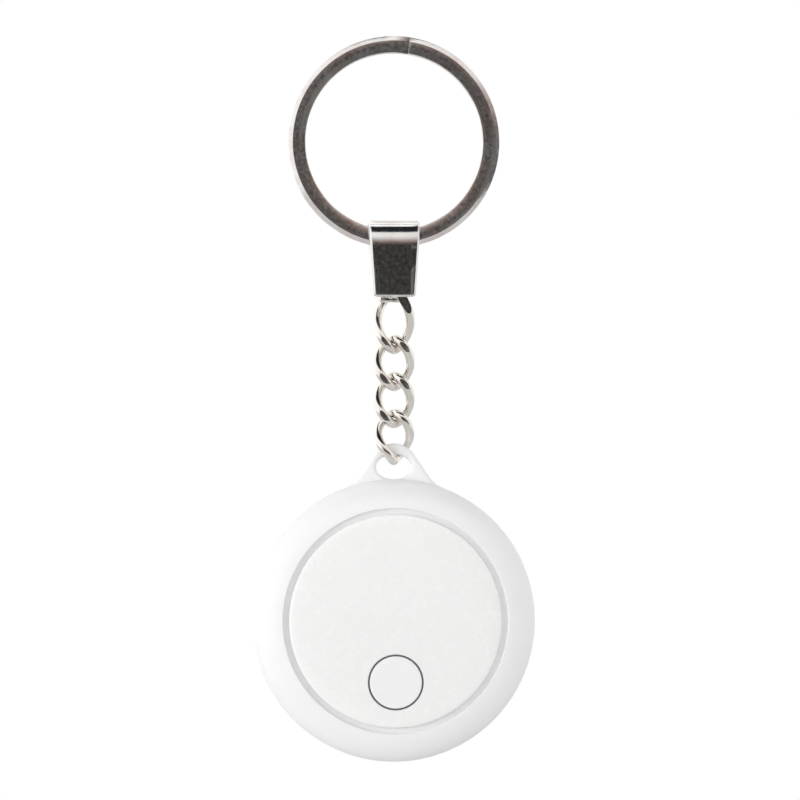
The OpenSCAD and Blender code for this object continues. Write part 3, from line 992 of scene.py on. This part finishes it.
# %% The lug's outline
lug_up = 21.6
lug_r = 3.5
lug_slope = math.radians(34)
lug_fillet = 5.0
lug_half = 0.58
lug_ease = 0.56
hole_up = 21.75
hole_across = 2.5
hole_tall = 1.75


def lug_outline():
    """The lug's right half from its top to inside the case wall, and its mirror image."""
    out = Vector((math.cos(lug_slope), math.sin(lug_slope)))
    down = Vector((math.sin(lug_slope), -math.cos(lug_slope)))
    reach = out.y * lug_up + lug_r + lug_fillet
    far = tag_r + lug_fillet
    centre = out * reach - down * math.sqrt(far * far - reach * reach)
    foot = math.atan2(centre.y, centre.x)
    half = []
    for k in range(17):
        a = math.pi / 2 + (lug_slope - math.pi / 2) * k / 16
        half.append(Vector((lug_r * math.cos(a), lug_up + lug_r * math.sin(a))))
    for k in range(17):
        a = math.pi + lug_slope + (foot - lug_slope) * k / 16
        half.append(centre + lug_fillet * Vector((math.cos(a), math.sin(a))))
    inside = tag_r - wall / 2
    last = math.atan2(half[-1].y, half[-1].x)
    for k in range(9):
        a = last + (math.pi / 2 - last) * k / 8
        half.append(inside * Vector((math.cos(a), math.sin(a))))
    mirrored = [Vector((-p.x, p.y)) for p in reversed(half[1:-1])]
    return half + mirrored + half[:1]


# %% The lug from its outline
hole_line = [
    Vector((hole_across * math.cos(a), hole_up + hole_tall * math.sin(a)))
    for a in (2 * math.pi * k / 64 for k in range(65))
]


def flat_line(name, points):
    """A closed line on the floor plane, as an edge mesh."""
    line = drawn(name, [(p.x, p.y, 0) for p in points])
    bpy.ops.mesh.select_all(action="SELECT")
    bpy.ops.mesh.remove_doubles(threshold=weld)
    bpy.ops.object.mode_set(mode="OBJECT")
    return line


lug = flat_line("lug", divided(lug_outline(), 0.5))
lug_hole = flat_line("lug_hole", hole_line)
only(lug)
lug_hole.select_set(True)
bpy.ops.object.join()
bpy.ops.object.convert(target="CURVE")
lug = bpy.context.object
lug.data.dimensions = "2D"
lug.data.fill_mode = "BOTH"
lug.data.extrude = (lug_half - lug_ease) * MM
lug.data.bevel_depth = lug_ease * MM
lug.data.bevel_resolution = 6
lug.data.offset = -lug_ease * MM
bpy.ops.object.convert(target="MESH")
lug = bpy.context.object
lug.rotation_euler = (math.pi / 2, 0, 0)
lug.location = tag_axis * MM
bpy.ops.object.transform_apply(location=True, rotation=True, scale=True)
bpy.ops.object.mode_set(mode="EDIT")
closed_up(lug)
only(lug)
for post in posts:
    post.select_set(True)
bpy.ops.object.join()
combine(case, lug, "UNION")
handed_over(case, "rear_housing", "tag", finishes["white_plastic"])

# %% [markdown]
# ## The battery cover
# The cover is a turned disc with a ring behind it that plugs into the case, and a notch in its
# rim for a coin or a nail, which is where it is prised off.

# %% The cover
cover_low, cover_high = box_mm("rear_cover")
cover_r = cover_high.x
cover_inner = back_h + 1.0
plug_out = recess_r - 1.5
plug_in = recess_r - 2.0

cover_outline = rounded(
    [
        (0, back_h),
        (cover_r, back_h, 0.3),
        (cover_r, cover_inner, 0.05),
        (plug_out, cover_inner),
        (plug_out, -cover_low.y, 0.1),
        (plug_in, -cover_low.y, 0.1),
        (plug_in, cover_inner),
        (0, cover_inner),
    ],
    closed=False,
)
cover = turned("battery_cover", divided(cover_outline, 1.0), tag_axis)
notch_axis = tag_axis - Vector((0, 0, cover_r + 0.6))
notch = disc("notch", notch_axis, 1.6, back_h - 1, back_h + 0.6, 0.25)
combine(cover, notch, "DIFFERENCE")
handed_over(cover, "rear_cover", "rear_cover", finishes["white_plastic"])

# %% [markdown]
# ## The stage
# The object hangs over a plain pale floor in an even white studio. White plastic needs only soft
# light, a little stronger from the left. Polished metal shows the room, so the room that metal
# sees has what a small studio has: white walls, a dark band overhead and, level with the object,
# the dark side that it faces, which lies a little to the right and is warm along its top.

# %% The floor
floor_drop = 0.037

bpy.ops.object.select_all(action="DESELECT")
bpy.ops.mesh.primitive_plane_add(size=0.62, location=(0, 0, cad_box[0].z - floor_drop))
floor = bpy.context.object
floor.name = "floor"
floor_finish, floor_shader = shader_of("matte card", Roughness=0.8)
card = grain(floor_finish.node_tree, 3.0, detail=2)
card_shades = ((0.3, (0.86, 0.86, 0.86)), (0.7, (0.89, 0.89, 0.89)))
card_colour = shades(floor_finish.node_tree, card, *card_shades)
wire_up(floor_finish.node_tree, floor_shader, Base_Color=card_colour)
floor.data.materials.append(floor_finish)

# %% What light sees, and what metal sees
studio = bpy.data.worlds.new("white studio")
bpy.context.scene.world = studio
studio.use_nodes = True
room = studio.node_tree
room.nodes.clear()


def maths(operation, *values):
    inputs = dict(enumerate(values))
    return node(room, "ShaderNodeMath", inputs, operation=operation).outputs["Value"]


def step_up(value, start, end):
    """Goes smoothly from 0 to 1 as value goes from start to end. End may be the lower one."""
    inputs = {"Value": value, "From Min": start, "From Max": end}
    step = node(room, "ShaderNodeMapRange", inputs, interpolation_type="SMOOTHSTEP")
    return step.outputs["Result"]


def mixed(share, first, second):
    inputs = {"Fac": share, "Color1": first, "Color2": second}
    return node(room, "ShaderNodeMixRGB", inputs).outputs["Color"]


def grey(level, warm=0.0):
    return (level * (1 + warm), level, level * (1 - warm), 1)


direction = node(room, "ShaderNodeTexCoord", {}).outputs["Generated"]
toward = node(room, "ShaderNodeSeparateXYZ", {"Vector": direction}).outputs
height = maths("MULTIPLY", maths("ARCSINE", toward["Z"]), 180 / math.pi)
turned_from_front = maths("ARCTAN2", toward["X"], maths("MULTIPLY", toward["Y"], -1))
side_angle = maths("MULTIPLY", turned_from_front, 180 / math.pi)
dark_turn = 16
off_side = maths("ABSOLUTE", maths("SUBTRACT", side_angle, dark_turn))

# %% The room that metal sees
# Where step_up is given a height or a side, its two numbers are angles in degrees.
dark_side = maths(
    "MULTIPLY",
    step_up(off_side, 52, 34),
    maths("MULTIPLY", step_up(height, 34, 6), step_up(height, -75, -55)),
)
overhead = maths(
    "MULTIPLY",
    step_up(off_side, 85, 60),
    maths("MULTIPLY", step_up(height, 43, 49), step_up(height, 80, 74)),
)
patches = {"Vector": direction, "Scale": 9.0, "Detail": 3}
patch = node(room, "ShaderNodeTexNoise", patches).outputs["Fac"]
dark_colour = mixed(step_up(patch, 0.42, 0.66), grey(0.028), grey(0.200, 0.03))
warm_dark = mixed(step_up(height, 3, 12), dark_colour, (0.190, 0.120, 0.100, 1))
walls = mixed(step_up(side_angle, -120, 60), grey(1.20), grey(0.95, 0.015))
walls = mixed(step_up(height, 60, 82), walls, grey(1.35))
metal_sees = mixed(overhead, mixed(dark_side, walls, warm_dark), grey(0.02, -0.1))

# %% Light paths
path = node(room, "ShaderNodeLightPath", {}).outputs
soft_sees = mixed(step_up(toward["Z"], 0.1, 0.9), grey(1.14), grey(0.50))
colour = mixed(path["Is Glossy Ray"], soft_sees, metal_sees)
colour = mixed(path["Is Camera Ray"], colour, grey(1.0))
background = node(room, "ShaderNodeBackground", {"Color": colour, "Strength": 1.0})
node(room, "ShaderNodeOutputWorld", {"Surface": background.outputs["Background"]})
bpy.context.scene.view_settings.view_transform = "Standard"


# %% Lamps
def lamp(name, place, size, watts):
    """A soft square lamp that faces the tag. Metal doesn't see it, only the room."""
    bpy.ops.object.select_all(action="DESELECT")
    bpy.ops.object.light_add(type="AREA", location=place)
    added = bpy.context.object
    added.name = name
    added.data.size = size
    added.data.energy = watts
    aim = tag_axis * MM - Vector(place)
    added.rotation_euler = aim.to_track_quat("-Z", "Y").to_euler()
    added.visible_glossy = False


lamp("lamp from the left", (-0.55, -0.35, -0.10), 0.4, 1.9)
lamp("lamp from below left", (-0.30, -0.45, -0.40), 0.3, 1.2)
